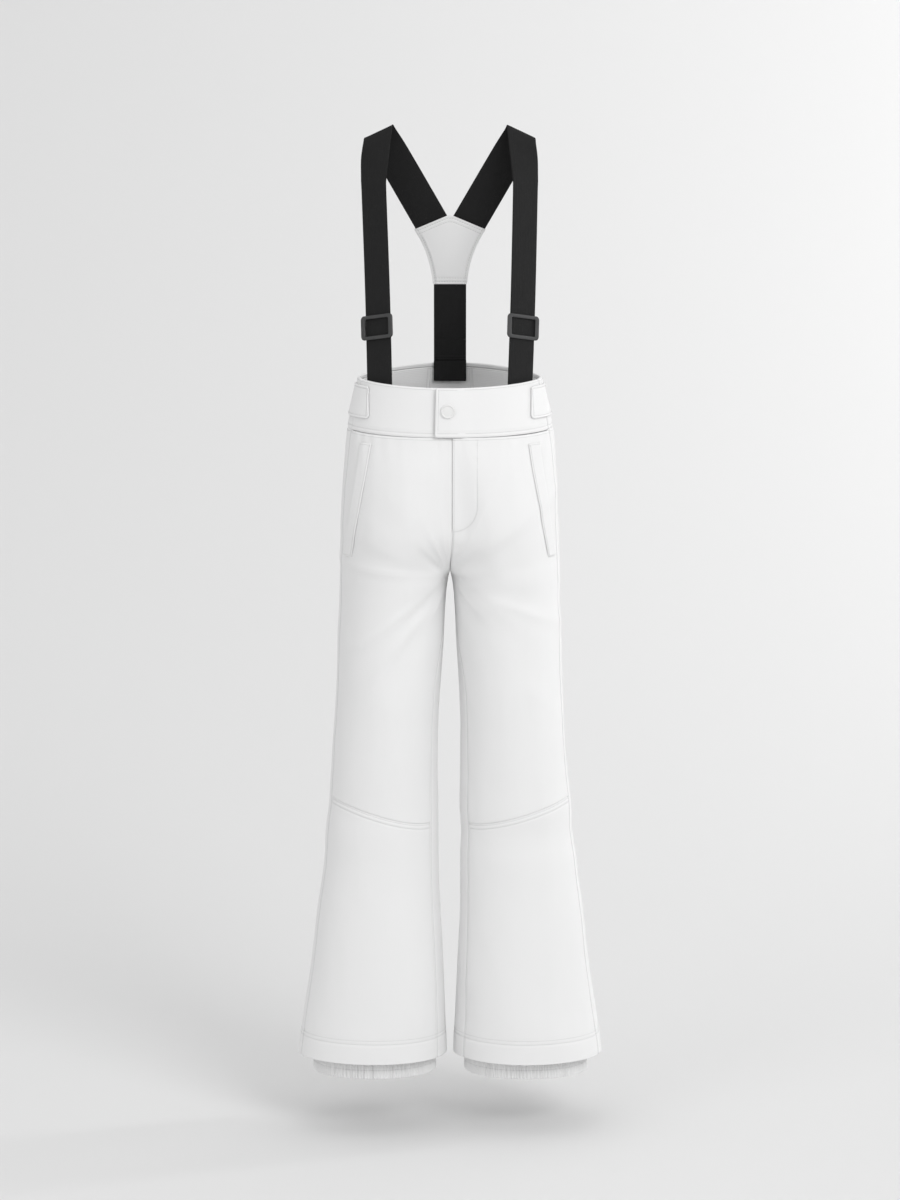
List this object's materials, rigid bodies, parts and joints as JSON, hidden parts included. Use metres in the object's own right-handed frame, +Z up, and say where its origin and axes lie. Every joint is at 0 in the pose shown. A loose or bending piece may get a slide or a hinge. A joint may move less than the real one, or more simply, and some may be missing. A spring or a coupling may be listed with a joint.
{
  "type": "child's ski pants with suspenders",
  "caption": "Flared softshell ski pants with snap fly tab, side adjusters, welt pockets, inner snow gaiters and Y-back elastic suspenders.",
  "frame": {"origin": "centre of the waist opening, at the height of its side rim", "axes": "+Z up towards the shoulders, -Y towards the front, +X towards the wearer's left"},
  "size_m": [0.3844, 0.1981, 1.1995],
  "materials": {
    "softshell": "matt woven softshell",
    "lining": "brushed knit",
    "taffeta": "light plain weave",
    "webbing": "ribbed elastic webbing",
    "plastic": "moulded, fine grain",
    "enamel": "white enamel",
    "steel": "plated",
    "hook_loop": "hook and loop pile"
  },
  "bodies": {
    "trousers": {"front_thigh_left": "softshell", "front_thigh_right": "softshell", "back_thigh_left": "softshell", "back_thigh_right": "softshell", "knee_crease_left": "softshell", "knee_crease_right": "softshell", "waistband_front_left": "softshell", "waistband_front_right": "softshell", "facing_front_left": "lining", "facing_front_right": "lining", "tab_loop_left": "hook_loop", "tab_loop_right": "hook_loop", "strap_loop_left": "hook_loop", "strap_loop_right": "hook_loop", "pocket_welt_left": "softshell", "pocket_welt_right": "softshell", "pocket_bag_left": "taffeta", "pocket_bag_right": "taffeta", "zip_teeth_left": "plastic", "zip_teeth_right": "plastic", "zip_tape_left": "lining", "zip_tape_right": "lining", "waistband_back": "softshell", "facing_back": "lining", "zip_stop": "plastic", "fly_shield": "softshell", "snap_stud": "steel", "back_strap_anchor": "webbing"},
    "zip_slider": {"zip_slider": "plastic"},
    "zip_pull": {"zip_pull": "plastic"},
    "waist_tab": {"waist_tab": "softshell", "snap_cap": "enamel", "snap_socket": "steel"},
    "suspenders": {"strap_left": "webbing", "strap_right": "webbing", "strap_hook_left": "hook_loop", "strap_hook_right": "hook_loop", "back_yoke": "softshell", "back_strap": "webbing", "back_strap_lap": "webbing"},
    "side_tab_left": {"side_tab_left": "softshell", "tab_hook_left": "hook_loop"},
    "buckle_left": {"buckle_left": "plastic"},
    "lower_leg_left": {"front_shin_left": "softshell", "back_shin_left": "softshell", "hem_band_left": "softshell"},
    "gaiter_left": {"gaiter_left": "taffeta", "gaiter_elastic_left": "webbing"},
    "side_tab_right": {"side_tab_right": "softshell", "tab_hook_right": "hook_loop"},
    "buckle_right": {"buckle_right": "plastic"},
    "lower_leg_right": {"front_shin_right": "softshell", "back_shin_right": "softshell", "hem_band_right": "softshell"},
    "gaiter_right": {"gaiter_right": "taffeta", "gaiter_elastic_right": "webbing"}
  },
  "joints": [
    {"name": "knee_left", "type": "hinge", "parent": "trousers", "child": "lower_leg_left", "pos_m": [0.083, 0, -0.545], "axis": [1, 0, 0], "range_deg": [0, 60], "deforming": ["knee_crease_left"]},
    {"name": "gaiter_slide_left", "type": "slide", "parent": "lower_leg_left", "child": "gaiter_left", "axis": [0, 0, 1], "range_m": [0, 0.03]},
    {"name": "side_tab_peel_left", "type": "hinge", "parent": "trousers", "child": "side_tab_left", "pos_m": [0.12255, 0.0059, -0.027], "axis": [-0.2256, 0, 0.9742], "range_deg": [0, 90]},
    {"name": "buckle_slide_left", "type": "slide", "parent": "suspenders", "child": "buckle_left", "axis": [0.0302, 0.2168, 0.9757], "range_m": [-0.035, 0.15]},
    {"name": "knee_right", "type": "hinge", "parent": "trousers", "child": "lower_leg_right", "pos_m": [-0.083, 0, -0.545], "axis": [1, 0, 0], "range_deg": [0, 60], "deforming": ["knee_crease_right"]},
    {"name": "gaiter_slide_right", "type": "slide", "parent": "lower_leg_right", "child": "gaiter_right", "axis": [0, 0, 1], "range_m": [0, 0.03]},
    {"name": "side_tab_peel_right", "type": "hinge", "parent": "trousers", "child": "side_tab_right", "pos_m": [-0.12255, 0.0059, -0.027], "axis": [-0.2256, 0, -0.9742], "range_deg": [0, 90]},
    {"name": "buckle_slide_right", "type": "slide", "parent": "suspenders", "child": "buckle_right", "axis": [-0.0302, 0.2168, 0.9757], "range_m": [-0.035, 0.15]},
    {"name": "zip_slide", "type": "slide", "parent": "trousers", "child": "zip_slider", "axis": [0, 0, -1], "range_m": [0, 0.094]},
    {"name": "zip_pull_swing", "type": "hinge", "parent": "zip_slider", "child": "zip_pull", "pos_m": [0.003, -0.07415, -0.073], "axis": [-1, 0, 0], "range_deg": [0, 16]},
    {"name": "waist_tab_open", "type": "hinge", "parent": "trousers", "child": "waist_tab", "pos_m": [0.0143, -0.0831, -0.035], "axis": [0, 0.1058, 0.9944], "range_deg": [0, 110]},
    {"name": "suspenders_flip", "type": "hinge", "parent": "trousers", "child": "suspenders", "pos_m": [0, 0.0739, 0.0122], "axis": [-1, 0, 0], "range_deg": [0, 110]}
  ]
}
